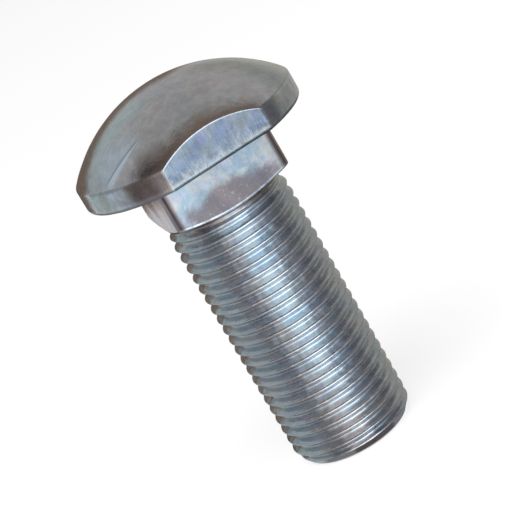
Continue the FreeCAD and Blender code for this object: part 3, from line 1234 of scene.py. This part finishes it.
@dataclass
class LightTent:
    """Tent of cards round the bolt that only shiny metal sees, as in a photo studio."""

    name: str = "light_tent"
    radius: float = 0.6
    opening: float = 0.007
    lift: float = 0.0002
    columns: int = 96
    mat_rings: int = 8
    dome_rings: int = 28
    middle: Rgb = (0.0, 0.0, 0.03)
    base: Rgb = (0.48, 0.47, 0.47)
    cloud_scale: float = 5.0
    ragged: float = 2.5
    panels: tuple[Panel, ...] = (
        Panel("zenith", (0.43, 0.43, 0.43), (-180.0, 180.0), (62.0, 120.0), 14.0),
        Panel("back_wall", (0.505, 0.57, 0.575), (-184.0, -152.0), (10.0, 44.0)),
        Panel("left_wall", (0.60, 0.69, 0.67), (-154.0, -112.0), (-90.0, 34.0)),
        Panel("left_window", (0.74, 0.84, 0.96), (-114.0, -90.0), (-90.0, 34.0)),
        Panel("left_upper", (0.43, 0.48, 0.485), (-150.0, -90.0), (-5.0, 34.0)),
        Panel("left_mat", (0.455, 0.49, 0.485), (-154.0, -88.0), (-90.0, -15.0)),
        Panel("left_low_flag", (0.415, 0.41, 0.47), (-90.0, -48.0), (-90.0, 10.0)),
        Panel("left_flag", (0.185, 0.153, 0.142), (-88.0, -56.0), (-10.5, 45.0), 4.0),
        Panel("front_left", (1.08, 1.05, 1.04), (-48.0, -24.0)),
        Panel("front_light", (1.70, 2.09, 2.32), (-25.0, 10.4), soft=6.0),
        Panel("front_cool", (1.10, 1.36, 1.58), (10.4, 21.0)),
        Panel("front_glare", (2.1, 2.7, 3.0), (-9.0, 10.0), (-120.0, -16.5), 4.0),
        Panel("right_card", (0.62, 0.71, 0.83), (21.0, 40.0)),
        Panel("right_flag", (0.35, 0.35, 0.39), (39.0, 62.0)),
        Panel("right_dark_flag", (0.18, 0.17, 0.175), (60.0, 90.0)),
        Panel("right_wall", (0.50, 0.49, 0.44), (88.0, 160.0), (-90.0, 30.0)),
        Panel("right_upper", (0.376, 0.376, 0.345), (88.0, 160.0), (12.0, 30.0)),
        Panel("right_mat", (0.17, 0.175, 0.17), (88.0, 160.0), (-90.0, -13.0)),
        Panel("brown_board", (0.185, 0.132, 0.10), (165.0, 213.0), (-20.0, 19.0), 2.0),
        Panel("edge_paper", (1.1, 1.15, 1.15), (-148.0, -144.0), (-16.0, 19.0), 1.5),
        Panel("back_paper", (0.80, 0.78, 0.82), (-178.0, -158.0), (-14.6, -11.0), 0.8),
        Panel("table", (0.28, 0.27, 0.27), (-180.0, 180.0), (-120.0, -52.0), 10.0),
        Panel("left_table", (0.50, 0.55, 0.57), (-150.0, -58.0), (-120.0, -46.0), 10.0),
        Panel("table_shade", (0.13, 0.10, 0.09), (-22.0, 28.0), (-120.0, -68.0), 6.0),
        Panel("brown_floor", (0.045, 0.041, 0.037), (158.0, 218.0), (-100.0, -14.6), 2.0),
        Panel("back_floor", (0.22, 0.20, 0.19), (120.0, 181.0), (-100.0, -14.6), 4.0),
        Panel("table_glare", (1.5, 1.2, 1.1), (-30.0, 4.0), (-70.0, -48.0), 8.0),
        Panel("high_board", (0.21, 0.152, 0.12), (-84.0, 94.0), (44.0, 92.0), 8.0),
        Panel("high_flag", (0.02, 0.018, 0.02), (-100.0, -78.0), (50.0, 65.0)),
        Panel("lamp_front", (3.2, 3.3, 3.4), (-6.0, 22.0), (0.0, 25.0), 4.0),
        Panel("left_strip", (0.56, 0.63, 0.69), (-152.0, -124.0), (34.0, 60.0)),
    )

    def build(self) -> bpy.types.Object:
        """Make the tent: a mat round the bolt's foot and a half sphere over it.

        Returns:
            The tent.
        """
        growth = self.radius / self.opening
        profile = [(self.opening * growth ** (step / self.mat_rings), self.lift)
                   for step in range(self.mat_rings + 1)]
        for step in range(1, self.dome_rings):
            rise = math.pi / 2 * step / self.dome_rings
            profile.append((self.radius * math.cos(rise),
                            self.lift + self.radius * math.sin(rise)))
        turns = [2 * math.pi * column / self.columns for column in range(self.columns)]
        points = [(radius * math.cos(turn), radius * math.sin(turn), height)
                  for radius, height in profile for turn in turns]
        points.append((0.0, 0.0, self.lift + self.radius))
        faces: list[tuple[int, ...]] = []
        for ring in range(len(profile)):
            here = ring * self.columns
            for column in range(self.columns):
                after = (column + 1) % self.columns
                if ring == len(profile) - 1:
                    faces.append((here + column, here + after, len(points) - 1))
                else:
                    above = here + self.columns
                    faces.append((here + column, here + after, above + after, above + column))
        tent = link_mesh(self.name, points, faces)
        tent.visible_camera = False
        tent.visible_diffuse = False
        tent.visible_shadow = False
        tent.visible_transmission = False
        tent.visible_volume_scatter = False
        tent.data.materials.append(self.material())
        return tent

    def material(self) -> bpy.types.Material:
        """Glow of the tent's cards, laid out by direction from the bolt.

        Returns:
            The material.
        """
        material = bpy.data.materials.new(self.name)
        sheet = Sheet.empty(material)
        place = sheet.add("ShaderNodeTexCoord").outputs["Object"]
        away = sheet.vector("NORMALIZE", sheet.vector("SUBTRACT", place, self.middle))
        parts = sheet.add("ShaderNodeSeparateXYZ", {0: away}).outputs
        turn = sheet.math("ARCTAN2", parts["X"], sheet.times(parts["Y"], -1.0))
        cloud = sheet.noise(away, self.cloud_scale, detail=4.0, roughness=0.6)
        shift = sheet.times(sheet.math("SUBTRACT", cloud, 0.5), self.ragged)
        azimuth = sheet.math("ADD", sheet.math("DEGREES", turn), shift)
        rise = sheet.math("DEGREES", sheet.math("ARCSINE", parts["Z"]))
        elevation = sheet.math("ADD", rise, shift)
        colour: object = rgba(self.base)
        for panel in self.panels:
            mask = panel.mask(sheet, azimuth, elevation)
            colour = sheet.mix(mask, colour, rgba(panel.colour))
        glow = sheet.add("ShaderNodeEmission", {"Color": colour, "Strength": 1.0})
        sheet.finish(glow.outputs[0])
        return material


@dataclass
class Studio:
    """Pale floor, white surroundings, a soft lamp and the light tent."""

    centre: Rgb = (0.0, 0.0, 0.026)
    white: Rgb = (1.0, 1.0, 1.0)
    floor_half: float = 4.0
    floor_height: float = -0.00002
    floor_grey: Rgb = (0.5, 0.5, 0.5)
    floor_glow: float = 0.8
    tent: LightTent = field(default_factory=LightTent)

    def build(self) -> None:
        """Make the floor, the surroundings, the tent and the lamp."""
        self.floor()
        self.surroundings()
        self.tent.build()
        self.lamp("soft_lamp", azimuth=-30.0, elevation=70.0, distance=1.2, size=0.9, power=9.0)

    def floor(self) -> None:
        """White floor that keeps a soft shadow."""
        half = self.floor_half
        corners = [(-half, -half, 0.0), (half, -half, 0.0), (half, half, 0.0), (-half, half, 0.0)]
        floor = link_mesh("floor", corners, [(0, 1, 2, 3)])
        floor.location = (0.0, 0.0, self.floor_height)
        material = bpy.data.materials.new("floor")
        sheet = Sheet.empty(material)
        matt = sheet.add("ShaderNodeBsdfDiffuse", {"Color": rgba(self.floor_grey)})
        glow = sheet.add("ShaderNodeEmission", {"Color": rgba(self.white),
                                                "Strength": self.floor_glow})
        both = sheet.add("ShaderNodeAddShader", {0: matt.outputs[0], 1: glow.outputs[0]})
        sheet.finish(both.outputs[0])
        floor.data.materials.append(material)

    def surroundings(self) -> None:
        """White seen by camera, metal and glass, and no light on the rest."""
        world = bpy.data.worlds.new("surroundings")
        bpy.context.scene.world = world
        sheet = Sheet.empty(world)
        path = sheet.add("ShaderNodeLightPath").outputs
        seen = sheet.math("MAXIMUM", path["Is Camera Ray"], path["Is Glossy Ray"])
        seen = sheet.math("MAXIMUM", seen, path["Is Transmission Ray"])
        plain, white = (sheet.add("ShaderNodeBackground", {"Color": rgba(self.white),
                                                           "Strength": strength})
                        for strength in (0.0, 1.0))
        mixed = sheet.add("ShaderNodeMixShader", {0: seen, 1: plain.outputs[0],
                                                  2: white.outputs[0]})
        sheet.finish(mixed.outputs[0], "ShaderNodeOutputWorld")

    def lamp(self, name: str, azimuth: float, elevation: float, distance: float, size: float,
             power: float) -> None:
        """Add one soft square lamp that faces the bolt.

        Args:
            name: the lamp's name.
            azimuth: where it stands, in degrees round the bolt, 0 in front of the flat.
            elevation: how high it stands, in degrees.
            distance: how far away, in metres.
            size: its side, in metres.
            power: its power, in watts.
        """
        away = heading(azimuth, elevation)
        data = bpy.data.lights.new(name, "AREA")
        data.shape = "SQUARE"
        data.size = size
        data.energy = power
        lamp = bpy.data.objects.new(name, data)
        bpy.context.scene.collection.objects.link(lamp)
        lamp.location = Vector(self.centre) + away * distance
        lamp.rotation_mode = "QUATERNION"
        lamp.rotation_quaternion = away.to_track_quat("Z", "Y")
        lamp.visible_glossy = False


@dataclass
class PhotoCamera:
    """Camera at the photograph's viewing angle."""

    aim: Rgb = (0.00011, 0.0, 0.02621)
    azimuth: float = -10.896
    elevation: float = 16.515
    roll: float = -30.152
    distance: float = 0.23838
    lens: float = 138.2
    sensor: float = 36.0
    clip: Span = (0.01, 20.0)

    def build(self) -> bpy.types.Object:
        """Make the camera and set it as the scene's own.

        Returns:
            The camera.
        """
        turn, tip = math.radians(self.azimuth), math.radians(self.roll)
        back = heading(self.azimuth, self.elevation)
        level_right = Vector((math.cos(turn), math.sin(turn), 0.0))
        level_up = back.cross(level_right)
        right = level_right * math.cos(tip) + level_up * math.sin(tip)
        up = level_up * math.cos(tip) - level_right * math.sin(tip)
        data = bpy.data.cameras.new("photo_camera")
        data.lens = self.lens
        data.sensor_width = self.sensor
        data.clip_start, data.clip_end = self.clip
        camera = bpy.data.objects.new("photo_camera", data)
        bpy.context.scene.collection.objects.link(camera)
        spin = Matrix((right, up, back)).transposed().to_4x4()
        camera.matrix_world = Matrix.Translation(Vector(self.aim) + back * self.distance) @ spin
        bpy.context.scene.camera = camera
        return camera


def main() -> None:
    """Build the camera, the studio and the bolt."""
    logging.basicConfig(level=logging.INFO)
    bpy.context.scene.view_settings.view_transform = "Standard"
    PhotoCamera().build()
    Studio().build()
    maker = WheelBolt()
    bolt = maker.build()
    maker.dress(bolt)
    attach(bolt, BODY)
    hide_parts(NODE)
    LOG.info("%s rides on %s", bolt.name, BODY)


if __name__ == "__main__":
    main()
